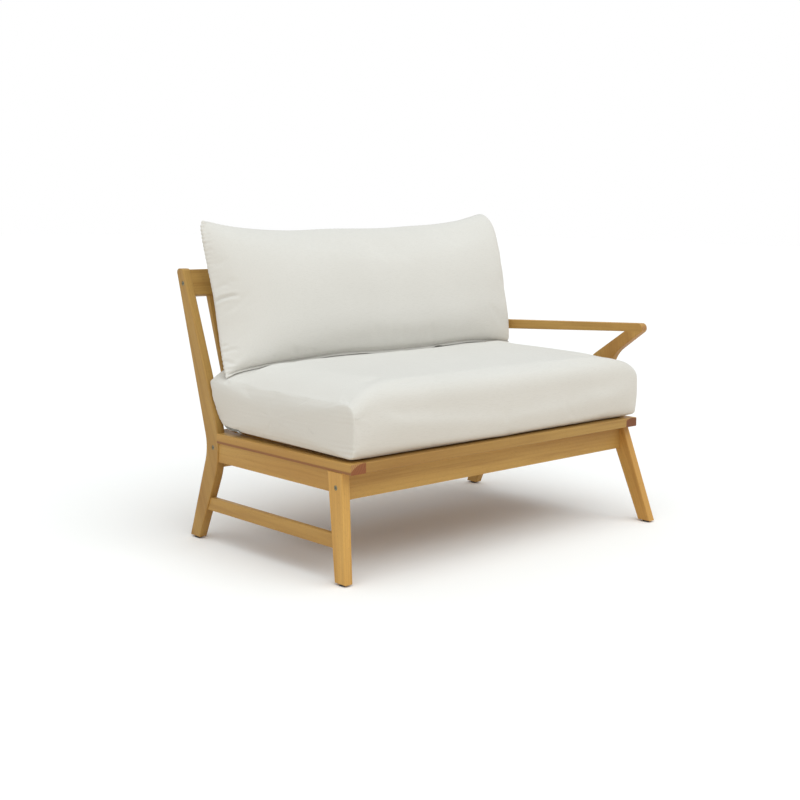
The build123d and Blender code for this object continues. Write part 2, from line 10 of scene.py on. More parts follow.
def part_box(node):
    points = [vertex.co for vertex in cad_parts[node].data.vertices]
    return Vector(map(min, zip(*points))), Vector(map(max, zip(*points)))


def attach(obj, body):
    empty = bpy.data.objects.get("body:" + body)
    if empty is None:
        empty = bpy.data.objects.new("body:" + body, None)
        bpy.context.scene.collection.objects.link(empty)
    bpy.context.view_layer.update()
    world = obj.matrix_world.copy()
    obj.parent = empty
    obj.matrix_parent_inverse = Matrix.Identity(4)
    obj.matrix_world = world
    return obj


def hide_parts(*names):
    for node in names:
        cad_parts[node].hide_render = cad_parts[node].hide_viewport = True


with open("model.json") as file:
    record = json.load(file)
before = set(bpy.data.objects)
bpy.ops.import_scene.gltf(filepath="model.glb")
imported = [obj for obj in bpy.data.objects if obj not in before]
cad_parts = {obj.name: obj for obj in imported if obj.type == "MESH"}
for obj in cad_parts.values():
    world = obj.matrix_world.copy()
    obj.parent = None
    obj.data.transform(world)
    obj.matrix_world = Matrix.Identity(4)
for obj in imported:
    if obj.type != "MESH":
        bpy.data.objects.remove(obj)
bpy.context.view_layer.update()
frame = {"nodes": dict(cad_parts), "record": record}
scene = bpy.context.scene
scene.view_settings.view_transform = "Standard"
nodes = frame["nodes"]

# Places below are millimetres from the left face, the fronts of the seat boards and the floor.
MM = 0.001
MIDDLE = np.array([602.5, 363.5, 0.0])


def place(points):
    """Laid-out millimetres to metres in the frame."""
    return (np.asarray(points, float) - MIDDLE) * MM


def linear(code, tone=1.0):
    """An sRGB hex colour as linear values, darkened or lightened by tone."""
    parts = [int(code[i:i + 2], 16) / 255 for i in (1, 3, 5)]
    return tuple(tone * (p / 12.92 if p <= 0.04045 else ((p + 0.055) / 1.055) ** 2.4) for p in parts) + (1.0,)


# Materials

MULTIPLY = {"operation": "MULTIPLY"}
SUBTRACT = {"operation": "SUBTRACT"}
SUM = {"operation": "ADD"}
LENGTH = {"operation": "LENGTH"}
SOFT = {"interpolation_type": "SMOOTHSTEP"}
COLOUR = {"data_type": "RGBA"}


def material(name):
    mat = bpy.data.materials.new(name)
    mat.use_nodes = True
    mat.node_tree.nodes.clear()
    return mat


def add(mat, kind, settings=None, out=0, **inputs):
    """Adds a node and gives one of its outputs; inputs go by name, or by number as i0, i1."""
    new = mat.node_tree.nodes.new("ShaderNode" + kind)
    for key, value in (settings or {}).items():
        setattr(new, key, value)
    for key, value in inputs.items():
        if key[0] == "i" and key[1:].isdigit():
            socket = new.inputs[int(key[1:])]
        else:
            socket = new.inputs[key.replace("_", " ")]
        if isinstance(value, bpy.types.NodeSocket):
            mat.node_tree.links.new(value, socket)
        else:
            socket.default_value = value
    if len(new.outputs) > 0:
        return new.outputs[out]
    return None


def uneven(mat, at, sizes, detail=2.0, roughness=0.5):
    """Noise whose patches are as large as sizes, in millimetres along each axis."""
    per_metre = tuple(1000.0 / size for size in sizes)
    scaled = add(mat, "VectorMath", MULTIPLY, i0=at, i1=per_metre)
    return add(mat, "TexNoise", Vector=scaled, Scale=1.0, Detail=detail, Roughness=roughness)


def surface(mat, colour, roughness, height, strength, depth, **more):
    """Ends a material: its colour and roughness over a bump whose depth is in millimetres."""
    bump = add(mat, "Bump", Strength=strength, Distance=depth * MM, Height=height)
    shader = add(mat, "BsdfPrincipled", Base_Color=colour, Roughness=roughness, Normal=bump, **more)
    add(mat, "OutputMaterial", Surface=shader)


HEART_RADIUS = 66.0
HEART_EDGE = 1.0
RING_WIDTH = 6.5
RING_STRETCH = 0.035         # how fast the rings change along the trunk, as a share of across it
RING_BEND = 0.03
GRAIN_SHIFT = 4.0            # metres, so that no two pieces share their grain
PITH_BESIDE = (0.05, 0.12)   # metres across the grain from the part's middle to the middle of the tree
PITH_ABOVE = (0.03, 0.09)
# Patches in millimetres along and across the grain. Real fibres and pores are finer, but would not show.
WAVE = (625, 91, 91)
FIBRE = (62.5, 1.61, 1.61)
STREAK = (333, 14.3, 14.3)
BROAD = (769, 111, 111)
PORE = (11.1, 0.53, 0.53)
STREAK_SHARE = 0.34
RING_SHARE = 0.11
FIBRE_SHARE = 0.22
PORE_SHARE = 0.35
GOLDEN = "#CAA25A"
TAN = "#B68947"
BROWN = "#966733"
PORE_BROWN = "#6E4624"
PAINTED_LOW_EDGE_SHADE = "#80492C"
END_SAPWOOD = "#B98B57"
END_HEARTWOOD = "#854E2C"
END_RINGS = "#5F3520"


def oiled_hardwood(name, along, seed, shade, heart):
    """Planed and oiled golden hardwood: a silky face with fine straight grain, browner where a cut end shows.

    The oil leaves only a weak shine. The grain runs along a direction. Dark heartwood fills a cylinder round the
    heart's x and z in metres, and its third value lightens or darkens it in the end grain. Where the cylinder meets
    the long faces, it paints shade along the board's lower edge.
    """
    mat = material(name)
    along = Vector(along).normalized()
    turn = along.rotation_difference(Vector((1, 0, 0))).to_euler()
    rng = np.random.default_rng(seed)
    shift = tuple(rng.uniform(-GRAIN_SHIFT, GRAIN_SHIFT, 3))
    pith = (shift[0], shift[1] + rng.uniform(*PITH_BESIDE), shift[2] + rng.uniform(*PITH_ABOVE))
    tone = 1.0 - shade
    coords = add(mat, "TexCoord", out=3)
    facing = coords.node.outputs["Normal"]
    turned = add(mat, "Mapping", Vector=coords, Rotation=turn, Location=shift)

    # Grain: growth rings round the pith, bent by slow waves, with fibres, streaks and short pores along them
    wave = uneven(mat, turned, WAVE)
    sideways = add(mat, "CombineXYZ", Y=wave, Z=wave)
    drift = add(mat, "VectorMath", {"operation": "SCALE"}, i0=sideways, Scale=RING_BEND)
    grain = add(mat, "VectorMath", SUM, i0=turned, i1=drift)
    from_pith = add(mat, "VectorMath", SUBTRACT, i0=grain, i1=pith)
    flat = add(mat, "VectorMath", MULTIPLY, i0=from_pith, i1=(RING_STRETCH, 1.0, 1.0))
    radius = add(mat, "VectorMath", LENGTH, out=1, i0=flat)
    rings = add(mat, "Math", MULTIPLY, i0=radius, i1=1 / (RING_WIDTH * MM))
    ring = add(mat, "Math", {"operation": "FRACT"}, i0=rings)
    darkening = add(mat, "MapRange", SOFT, i0=ring, i1=0.35, i2=0.9)
    ending = add(mat, "MapRange", SOFT, i0=ring, i1=1.0, i2=0.93)
    late = add(mat, "Math", MULTIPLY, i0=darkening, i1=ending)
    fibre = uneven(mat, grain, FIBRE, 3.0, 0.6)
    streak = add(mat, "MapRange", SOFT, i0=uneven(mat, grain, STREAK), i1=0.42, i2=0.8, i4=STREAK_SHARE)
    broad = add(mat, "MapRange", SOFT, i0=uneven(mat, turned, BROAD, 1.0), i1=0.3, i2=0.7)
    pore = add(mat, "MapRange", SOFT, i0=uneven(mat, grain, PORE, 1.0), i1=0.63, i2=0.72)

    brown = linear(BROWN, tone)
    colour = add(mat, "Mix", COLOUR, out=2, i0=broad, i6=linear(GOLDEN, tone), i7=linear(TAN, tone))
    colour = add(mat, "Mix", COLOUR, out=2, i0=streak, i6=colour, i7=brown)
    ring_share = add(mat, "Math", MULTIPLY, i0=late, i1=RING_SHARE)
    colour = add(mat, "Mix", COLOUR, out=2, i0=ring_share, i6=colour, i7=brown)
    fibre_share = add(mat, "Math", MULTIPLY, i0=fibre, i1=FIBRE_SHARE)
    colour = add(mat, "Mix", COLOUR, out=2, i0=fibre_share, i6=colour, i7=brown)
    pore_share = add(mat, "Math", MULTIPLY, i0=pore, i1=PORE_SHARE)
    colour = add(mat, "Mix", COLOUR, out=2, i0=pore_share, i6=colour, i7=linear(PORE_BROWN))

    # Heartwood, dark in the end grain, which drinks the oil. On the long faces the same cylinder paints shade along
    # the lower edge.
    from_heart = add(mat, "VectorMath", SUBTRACT, i0=coords, i1=(heart[0], 0.0, heart[1]))
    across = add(mat, "VectorMath", MULTIPLY, i0=from_heart, i1=(1.0, 0.0, 1.0))
    away = add(mat, "VectorMath", LENGTH, out=1, i0=across)
    inner = (HEART_RADIUS - HEART_EDGE) * MM
    outer = (HEART_RADIUS + HEART_EDGE) * MM
    # painted shade of the board's rounded lower edge on its long faces, in a dark heartwood colour
    painted_edge_shade_share = add(mat, "MapRange", SOFT, i0=away, i1=inner, i2=outer, i3=0.7, i4=0.0)
    in_end = add(mat, "MapRange", SOFT, i0=away, i1=inner, i2=outer, i3=1.0, i4=0.12)
    colour = add(mat, "Mix", COLOUR, out=2, i0=painted_edge_shade_share, i6=colour, i7=linear(PAINTED_LOW_EDGE_SHADE))
    dark = linear(END_HEARTWOOD, heart[2])
    end_colour = add(mat, "Mix", COLOUR, out=2, i0=in_end, i6=linear(END_SAPWOOD), i7=dark)
    end_ring = add(mat, "Math", MULTIPLY, i0=late, i1=0.5)
    darkest = linear(END_RINGS, heart[2])
    end_colour = add(mat, "Mix", COLOUR, out=2, i0=end_ring, i6=end_colour, i7=darkest)
    along_grain = add(mat, "VectorMath", {"operation": "DOT_PRODUCT"}, out=1, i0=facing, i1=tuple(along))
    either_end = add(mat, "Math", {"operation": "ABSOLUTE"}, i0=along_grain)
    end = add(mat, "MapRange", SOFT, i0=either_end, i1=0.8, i2=0.95, i4=0.9)
    colour = add(mat, "Mix", COLOUR, out=2, i0=end, i6=colour, i7=end_colour)

    rough = add(mat, "MapRange", SOFT, i0=fibre, i1=0.2, i2=0.8, i3=0.42, i4=0.56)
    pore_depth = add(mat, "Math", MULTIPLY, i0=pore, i1=0.8)
    height = add(mat, "Math", SUBTRACT, i0=fibre, i1=pore_depth)
    surface(mat, colour, rough, height, 0.35, 0.3, Specular_IOR_Level=0.3)
    return mat


THREAD_PITCH = 0.8           # coarser than real threads, so that the weave shows
SLUB = (16.7, 1.43, 1.43)
CLOUD = (200, 200, 200)


def woven_cloth(name, code, dark_tone_and_thread_shade_code):
    """Plain-woven outdoor cloth: matt, with a fine weave with painted shade between its threads, slubs and a soft
    sheen at its edges.
    """
    mat = material(name)
    coords = add(mat, "TexCoord", out=3)
    facing = add(mat, "VectorMath", {"operation": "ABSOLUTE"}, i0=coords.node.outputs["Normal"])
    threads = add(mat, "VectorMath", {"operation": "SCALE"}, i0=coords, Scale=math.pi / (THREAD_PITCH * MM))
    waves = add(mat, "VectorMath", {"operation": "SINE"}, i0=threads)
    x, y, z = add(mat, "SeparateXYZ", Vector=waves).node.outputs
    nx, ny, nz = add(mat, "SeparateXYZ", Vector=facing).node.outputs
    weave = None
    for warp, weft, seen in ((x, y, nz), (x, z, ny), (y, z, nx)):
        crossing = add(mat, "Math", MULTIPLY, i0=warp, i1=weft)
        shown = add(mat, "Math", MULTIPLY, i0=crossing, i1=seen)
        weave = add(mat, "Math", SUM, i0=weave, i1=shown) if weave else shown
    slub = uneven(mat, coords, SLUB)
    cloud = uneven(mat, coords, CLOUD)
    # the darker tone: random cloud and slubs of the cloth itself, and the painted shade between the threads
    shadow = linear(dark_tone_and_thread_shade_code)
    cloud_share = add(mat, "MapRange", SOFT, i0=cloud, i1=0.25, i2=0.75, i4=0.12)
    colour = add(mat, "Mix", COLOUR, out=2, i0=cloud_share, i6=linear(code), i7=shadow)
    slub_share = add(mat, "MapRange", SOFT, i0=slub, i1=0.45, i2=0.75, i4=0.3)
    colour = add(mat, "Mix", COLOUR, out=2, i0=slub_share, i6=colour, i7=shadow)
    # painted shade between the threads
    between = add(mat, "MapRange", SOFT, i0=weave, i1=-1.0, i2=1.0, i3=0.14, i4=0.0)
    colour = add(mat, "Mix", COLOUR, out=2, i0=between, i6=colour, i7=shadow)
    height = add(mat, "Math", SUM, i0=weave, i1=slub)
    surface(mat, colour, 0.88, height, 0.3, 0.2, Sheen_Weight=0.25, Sheen_Roughness=0.5, Specular_IOR_Level=0.25)
    return mat


WORN = (11.1, 11.1, 11.1)


def handled(name, code, metallic, rough, grit, depth):
    """A moulded or plated finish with paler worn patches. Its grit is drawn coarser than real, so that it shows."""
    mat = material(name)
    coords = add(mat, "TexCoord", out=3)
    fine = uneven(mat, coords, (grit, grit, grit), 3.0)
    worn = add(mat, "MapRange", SOFT, i0=uneven(mat, coords, WORN), i1=0.3, i2=0.7)
    base = linear(code)
    pale = tuple(min(1.0, part * 1.25 + 0.004) for part in base[:3]) + (1.0,)
    colour = add(mat, "Mix", COLOUR, out=2, i0=worn, i6=base, i7=pale)
    roughness = add(mat, "MapRange", SOFT, i0=worn, i3=rough - 0.06, i4=rough + 0.08)
    surface(mat, colour, roughness, fine, 0.3, depth, Metallic=metallic)
    return mat


TOOTH_PITCH = 1.05


def grey_nylon_coil(name):
    """Nylon coil zip on woven tape: fine teeth across the tape, drawn as bands of painted highlight and painted shade.

    Blender's bands turn through 20 radians for each unit of length and scale.
    """
    mat = material(name)
    coords = add(mat, "TexCoord", out=3)
    teeth = add(mat, "TexWave", {"wave_type": "BANDS", "bands_direction": "X"}, out=1, Vector=coords,
                Scale=2 * math.pi / (20 * TOOTH_PITCH * MM), Distortion=0.0)
    # the two greys of the bands: painted shade between the teeth and painted highlight on them
    colour = add(mat, "Mix", COLOUR, out=2, i0=teeth, i6=linear("#6C6E6C"), i7=linear("#A6A8A4"))
    surface(mat, colour, 0.6, teeth, 0.6, 0.6)
    return mat


def dress(names, mat):
    for name in names:
        mesh = nodes[name].data
        mesh.materials.clear()
        mesh.materials.append(mat)


# Heartwood centres from the low corner of a board's box in x and z, in millimetres, and how light the heart is in the
# end grain.
# The same centres place the painted shade along each board's lower side edge.
HEARTS = {"left_seat_board": (48, -38, 1.23), "right_seat_board": (30, -38, 0.83)}
NO_HEART = (10.0, 10.0, 1.0)    # metres outside every piece
# How much darker each piece is drawn, lighter below 0. The 0.2 for front_seat_board is painted shadow of the seat
# cushion over it; the other values differ from piece to piece.
SHADES = {
    "left_front_leg": -0.28, "right_front_leg": -0.22, "front_seat_board": 0.2, "left_rear_post": 0.15,
    "left_seat_board": -0.02, "left_side_apron": -0.04, "front_apron": 0.0, "armrest": -0.02,
    "back_top_rail": 0.12, "right_seat_board": 0.05, "left_side_stretcher": 0.05,
}
SHADE_SPREAD = 0.05
SHADE_TURN = 2.4
FIRST_SEED = 3
FRONT_TO_BACK = (0, 1, 0)
UP_THE_BACK = (0.0, 137.5, 398.0)
GRAINS = {
    "left_front_leg": (0, 0.06, 1), "right_front_leg": (0, 0.42, 1),
    "left_rear_post": (0, 0.4, 1), "right_rear_post": (0, 0.4, 1),
    "left_side_apron": FRONT_TO_BACK, "right_side_apron": FRONT_TO_BACK, "left_side_stretcher": FRONT_TO_BACK,
    "left_seat_board": FRONT_TO_BACK, "right_seat_board": FRONT_TO_BACK,
    "armrest": (0, 1, -0.055), "arm_support": (0, 0.2, 1), "arm_dowels": (0, 0, 1),
}
SIDE_TO_SIDE = (1, 0, 0)


def dress_timber():
    """Each wooden piece gets its own grain, along its length."""
    timber = [entry["node"] for entry in frame["record"]["subparts"] if entry["material_slot"] == "timber"]
    for seed, name in enumerate(timber):
        heart = NO_HEART
        if name in HEARTS:
            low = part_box(name)[0]
            right, up, heart_tone = HEARTS[name]
            heart = (low[0] + right * MM, low[2] + up * MM, heart_tone)
        along = GRAINS.get(name, SIDE_TO_SIDE)
        if name.startswith("seat_slat"):
            along = FRONT_TO_BACK
        if name.startswith("back_slat"):
            along = UP_THE_BACK
        shade = SHADES.get(name, SHADE_SPREAD * math.sin(seed * SHADE_TURN))
        dress([name], oiled_hardwood(f"oiled_hardwood_{name}", along, seed + FIRST_SEED, shade, heart))


dress_timber()
zinc = handled("zinc_plated_steel", "#7E7B68", 1.0, 0.42, 1.11, 0.1)
nickel = handled("nickel_plated_pull", "#A9AAA8", 1.0, 0.3, 1.11, 0.1)
glide_nylon = handled("moulded_black_nylon", "#17171A", 0.0, 0.5, 0.56, 0.2)
coil = grey_nylon_coil("grey_nylon_coil_zip")
foam_wrap = woven_cloth("white_foam_wrap", "#ECEAE2", "#DAD7CC")
cloth = woven_cloth("off_white_woven_cloth", "#DFDDD8", "#CCC9C2")
dress([f"{side}_{end}_glide" for side in ("left", "right") for end in ("front", "rear")], glide_nylon)
dress(["left_frame_bolts", "right_frame_bolts", "arm_bolt", "barrel_nuts"], zinc)
dress(["front_slat_screws", "rear_slat_screws"], zinc)
dress(["seat_cushion_zip", "back_cushion_zip"], coil)
dress(["seat_cushion_zip_pull", "back_cushion_zip_pull"], nickel)
dress(["seat_cushion_core", "back_cushion_core"], foam_wrap)


# Cushions

def mesh_piece(name, verts, faces, body, replaced, mat, soft=True):
    """A piece that rides on a body and stands for a CAD node, shaded softly or with plain faces."""
    mesh = bpy.data.meshes.new(name)
    mesh.from_pydata([tuple(v) for v in verts], [], [tuple(int(i) for i in f) for f in faces])
    mesh.validate()
    mesh.update()
    mesh.polygons.foreach_set("use_smooth", [soft] * len(mesh.polygons))
    mesh.materials.append(mat)
    piece = bpy.data.objects.new(name, mesh)
    scene.collection.objects.link(piece)
    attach(piece, body)
    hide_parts(replaced)
    return piece


def smooth(value, low, high):
    t = np.clip((np.asarray(value, float) - low) / (high - low), 0, 1)
    return t * t * (3 - 2 * t)


def curve(table, t):
    """A smooth curve through places and values."""
    places, values = np.array(table, float).T
    t = np.asarray(t, float)
    k = np.clip(np.searchsorted(places, t) - 1, 0, len(places) - 2)
    slopes = np.gradient(values, places)
    h = places[k + 1] - places[k]
    s = (t - places[k]) / h
    return ((2 * s ** 3 - 3 * s ** 2 + 1) * values[k] + (s ** 3 - 2 * s ** 2 + s) * h * slopes[k]
            + (3 * s ** 2 - 2 * s ** 3) * values[k + 1] + (s ** 3 - s ** 2) * h * slopes[k + 1])


def rounded_loop(corners, cuts, straight, bend):
    """Points around a closed outline: straight points on each side, bend points round each corner."""
    points = []
    count = len(corners)
    for i in range(count):
        here = np.array(corners[i], float)
        before = np.array(corners[i - 1], float)
        after = np.array(corners[(i + 1) % count], float)
        start = here + (before - here) / np.linalg.norm(before - here) * cuts[i]
        end = here + (after - here) / np.linalg.norm(after - here) * cuts[i]
        for t in np.linspace(0, 1, bend[i], endpoint=False):
            points.append((1 - t) ** 2 * start + 2 * t * (1 - t) * here + t * t * end)
        to_next = after + (here - after) / np.linalg.norm(here - after) * cuts[(i + 1) % count]
        for t in np.linspace(0, 1, straight[i], endpoint=False):
            points.append(end + (to_next - end) * t)
    return np.array(points)


# Height of the line where the back cushion's bottom seam rests on the seat, along x
BACK_LOW_Z = [(8, 487.5), (30, 497), (61, 505), (147, 517), (282, 523.5), (434, 530.5), (611, 527), (812, 530),
              (965, 538), (1115, 532), (1175, 527)]
BACK_LOW_SPAN = (8, 1175)
SEAT_UNDER_BACK = 1.4        # the seat gives way to this much below that line


def resting_line(x):
    return curve(BACK_LOW_Z, np.clip(x, *BACK_LOW_SPAN))


# Seat cushion sections in (y, z): lower front, lower rear, rear top, middle of the top, front top, front
SEAT_END = [(8, 337), (604, 346), (650, 484), (330, 481), (4, 481), (2, 402)]
SEAT_END_CUTS = [14, 60, 16, 150, 42, 30]
SEAT_MID = [(14, 330), (592, 330), (652, 532), (330, 533), (-4, 525), (-5, 415)]
SEAT_MID_CUTS = [26, 42, 40, 150, 60, 30]
SEAT_STRAIGHT = [56, 12, 26, 26, 4, 5]
SEAT_BEND = [6, 10, 8, 10, 12, 5]
SEAT_TOP_CORNERS = (2, 3, 4)
SEAT_LEFT = 12.0
SEAT_RIGHT = 1166.0
SEAT_STATIONS = [0, 2, 5, 9, 14, 21, 30, 41, 54, 70, 90, 112, 137]    # in from each end
SEAT_MIDDLE_STATIONS = 40
SEAT_PUFF = 135.0            # from the left end seam to the full height
SEAT_RIGHT_PUFF = 100.0
SEAT_RIGHT_RISE = 12.0       # the right end is held higher by the arm support
SEAT_RISE_LOSS = 0.6         # the share of that rise that the full height takes up
SEAT_RISE_FROM = 0.45        # the share of the length where it starts
SEAT_END_CENTRE = (330.0, 408.0)
SEAT_END_BULGE = 12.0
SEAT_END_RINGS = (0.985, 0.96, 0.92, 0.87, 0.8, 0.72, 0.62, 0.51, 0.39, 0.26, 0.13)
SEAM_DIP = 2.2

# Swells of the seat cushion's corners: how far, and the x, y and z where each comes in or fades
FRONT_CORNER_OUT = 34
FRONT_CORNER_AHEAD = 7
FRONT_CORNER_X = (1060, 1160)
FRONT_CORNER_Y = (0, 62)
SHOULDER_UP = 5
SHOULDER_X = (1000, 1110)
SHOULDER_Y = (400, 520)
SHOULDER_Z = (440, 480)
OVERHANG_OUT = 7
OVERHANG_X = (4, 70)
OVERHANG_Y = (440, 590)
OVERHANG_Z = (370, 450)

# What the seat cushion lies against
BOARDS_TOP = 329.2
ARM_SIDE_X = 1175.4
ARM_FREE_WIDTH = 26          # ahead of the arm support the cushion may swell this far past its inner face
ARM_FREE_FROM = 48
ARM_FREE_TO = 4
POST_SIDE_X = (27, 40)
POST_GAP = 2
PAST_POST = 60
PRESSED_FROM = (490, 550)    # y where the back cushion's weight comes in, and where it ends
PRESSED_TO = (604, 634)
PRESSED_Z = (400, 450)


def seat_section(fullness, right_share):
    corners = []
    for number, (end, mid) in enumerate(zip(SEAT_END, SEAT_MID)):
        corner = np.array(end) + (np.array(mid) - np.array(end)) * fullness
        if number in SEAT_TOP_CORNERS:
            corner[1] += SEAT_RIGHT_RISE * right_share * (1 - SEAT_RISE_LOSS * fullness)
        corners.append(corner)
    cuts = [end + (mid - end) * fullness for end, mid in zip(SEAT_END_CUTS, SEAT_MID_CUTS)]
    return rounded_loop(corners, cuts, SEAT_STRAIGHT, SEAT_BEND)


def support_front(z):
    """Front edge of the arm support at a height: its lower slope, up to its bend."""
    return np.minimum(47 + 0.389 * (z - 328), 84)


def post_front(z):
    """Front edge of the rear posts at a height above the boards: the rounded knee, then the leaning part."""
    return np.maximum(602 + 0.2 * (z - 329), 575 + 0.398 * (z - 281))


def fill_corners(points):
    """Swells the seat cushion's right front corner and its rear corners, as the photo shows them."""
    x, y, z = points.T.copy()
    corner = smooth(x, *FRONT_CORNER_X) * (1 - smooth(y, *FRONT_CORNER_Y))
    shoulder = smooth(x, *SHOULDER_X) * smooth(y, *SHOULDER_Y) * smooth(z, *SHOULDER_Z)
    overhang = (1 - smooth(x, *OVERHANG_X)) * smooth(y, *OVERHANG_Y) * smooth(z, *OVERHANG_Z)
    x = x + FRONT_CORNER_OUT * corner - OVERHANG_OUT * overhang
    return np.column_stack([x, y - FRONT_CORNER_AHEAD * corner, z + SHOULDER_UP * shoulder])


def fit_seat(points):
    """Keeps the seat cushion on the boards and off posts and arm support, and low under the back cushion."""
    x, y, z = points.T.copy()
    front = support_front(z)
    x = np.minimum(x, ARM_SIDE_X + ARM_FREE_WIDTH * (1 - smooth(y, front - ARM_FREE_FROM, front - ARM_FREE_TO)))
    pressed = smooth(y, *PRESSED_FROM) * (1 - smooth(y, *PRESSED_TO)) * smooth(z, *PRESSED_Z)
    z -= pressed * np.maximum(z - resting_line(x) + SEAT_UNDER_BACK, 0)
    z = np.maximum(z, BOARDS_TOP)
    near_post = 1 - smooth(x, *POST_SIDE_X)
    y = np.minimum(y, post_front(z) - POST_GAP + PAST_POST * (1 - near_post))
    return np.column_stack([x, y, z])


def build_seat():
    """The seat cushion's cover: sections along its length, and a domed panel inside each end seam."""
    length = SEAT_RIGHT - SEAT_LEFT
    middle = np.linspace(SEAT_STATIONS[-1], length / 2, SEAT_MIDDLE_STATIONS)[1:]
    steps = np.array(SEAT_STATIONS + list(middle))
    stations = list(steps) + list(length - steps[-2::-1])
    count = sum(SEAT_STRAIGHT) + sum(SEAT_BEND)
    rows = []
    for station in stations:
        inside = min(station / SEAT_PUFF, (length - station) / SEAT_RIGHT_PUFF, 1.0)
        fullness = 1 - (1 - inside) ** 3
        loop = seat_section(fullness, float(smooth(station, length * SEAT_RISE_FROM, length)))
        if station in (0, length):
            inward = np.array(SEAT_END_CENTRE) - loop
            loop = loop + inward / np.linalg.norm(inward, axis=1)[:, None] * SEAM_DIP
        rows.append(np.column_stack([np.full(count, SEAT_LEFT + station), loop]))
    verts = [p for row in rows for p in row]
    faces = []
    for r in range(len(rows) - 1):
        for i in range(count):
            j = (i + 1) % count
            faces.append((r * count + i, r * count + j, (r + 1) * count + j, (r + 1) * count + i))
    for row, sign, first in ((rows[0], -1, 0), (rows[-1], 1, (len(rows) - 1) * count)):
        centre = np.array([row[0, 0], *SEAT_END_CENTRE])
        previous = [first + i for i in range(count)]
        for share in SEAT_END_RINGS:
            ring = centre + (row - centre) * share
            ring[:, 0] = row[:, 0] + sign * SEAT_END_BULGE * (1 - share ** 5) ** 0.8
            start = len(verts)
            verts.extend(ring)
            current = [start + i for i in range(count)]
            for i in range(count):
                j = (i + 1) % count
                quad = (previous[i], previous[j], current[j], current[i])
                faces.append(quad if sign > 0 else quad[::-1])
            previous = current
        tip = len(verts)
        verts.append(centre + np.array([sign * SEAT_END_BULGE, 0, 0]))
        for i in range(count):
            j = (i + 1) % count
            faces.append((previous[i], previous[j], tip) if sign > 0 else (tip, previous[j], previous[i]))
    return fit_seat(fill_corners(np.array(verts))), faces


# Back cushion: two sheets sewn along their edges, about a leaning seam plane
BACK_ORIGIN = np.array([0.0, 597.0, 490.0])
TILT = math.radians(17.0)
BACK_UP = np.array([0.0, math.sin(TILT), math.cos(TILT)])
# Seam outline: top seam's height up the plane along the width, and its ends along the height
BACK_TOP = [(0, 474), (0.02, 470), (0.07, 459), (0.16, 448), (0.25, 444), (0.42, 450), (0.61, 451), (0.7, 456),
            (0.8, 461), (0.9, 473), (0.96, 487), (0.985, 492), (1, 485)]
BACK_LEFT = [(0, 29), (0.1, 27), (0.3, 28), (0.5, 31), (0.7, 28), (0.9, 27), (0.97, 30), (1, 37)]
BACK_RIGHT = [(0, 1171), (0.3, 1174), (0.45, 1184), (0.7, 1194), (0.93, 1202), (1, 1197)]
BACK_FORWARD = 22.0          # the arm side stands this far forward
BACK_FORWARD_X = (500, 1170)
BACK_COLUMNS = 150
BACK_ROWS = 76
EDGE_CROWDING = 0.4          # how much closer together points lie near the seams
FLANGE_ROWS = [0, 0.004, 0.008, 0.0125, 0.0165, 0.02, 0.0245]
FLANGE_ROWS_END = 0.028
HELD_ROWS = 6

# How full the back cushion is, ahead of its seam plane and behind it, and how it rises from its seams
BACK_AHEAD_FULL = 104.0
BACK_BEHIND_FULL = 84.0
BACK_FOOT_FORWARD = 52.0     # the bottom seam is pushed this far forward on the seat cushion
FOOT_TALL_SHARE = 0.32
FOOT_SPREAD_SHARE = 0.4
FOOT_AT_LEFT_SHARE = 0.55
FOOT_GROWTH_SHARE = 0.45
FOOT_GROWTH_X = (20, 160)
LEVEL_SHARES = (0.0, 0.4)
LEFT_SWELL = (320.0, 0.72)   # reach and power
RIGHT_SWELL = (60.0, 0.33)
LOW_SWELL = (120.0, 0.42)
TOP_REACH = 260.0
TOP_POWER = 0.62
TOP_POWER_DROP = 0.26
TOP_POWER_X = (900, 1150)
SWELL_ROUNDNESS = 2.4

# Sewn edge along the bottom, below the cushion's tucked-in front
FLANGE = 8.0
FLANGE_HALF = 1.3
FLANGE_FULL_AT = 3
FLANGE_LIFTS = [(147, 2.0, 16), (705, 2.2, 16), (836, 5.0, 15), (1115, 2.2, 18)]    # along x, height, reach
FLANGE_WAVE = 0.5
FLANGE_WAVE_X = 19
TUCK = 5.0
TUCK_REACH = 2.6
TUCK_FROM_X = (20, 110)
TUCK_TO_X = (1080, 1160)

# What the back cushion leans on and stands between
RAIL_FOOT_Y = 656
RAIL_FOOT_Z = 400
RAIL_LEAN = np.arctan2(793.5 - RAIL_FOOT_Y, 398)
RAIL_HALF = 12
ARM_INNER_X = 1175.5
ABOVE_ARM_Z = (644, 690)
POST_INNER_X = 29.0
AHEAD_OF_POST_Y = (640, 655)
ABOVE_POST_Z = (800, 806)
FREE_WIDTH = 30              # how far the cushion may pass arm and post where these end


def rise(distance, reach, power):
    """Fullness at a distance from a seam: steep at the seam, level at reach."""
    t = np.clip(distance / reach, 0, 1)
    return (1 - (1 - t) ** SWELL_ROUNDNESS) ** power


def in_plane(x, up, ahead, level):
    """Points of the leaning plane, at distances ahead of it along its normal, or level near the bottom."""
    forward = ahead + BACK_FORWARD * smooth(x, *BACK_FORWARD_X)
    tilt = TILT * (1 - level)
    y = BACK_ORIGIN[1] + up * BACK_UP[1] - forward * np.cos(tilt)
    z = BACK_ORIGIN[2] + up * BACK_UP[2] + forward * np.sin(tilt)
    return np.stack([x, y, z], -1)


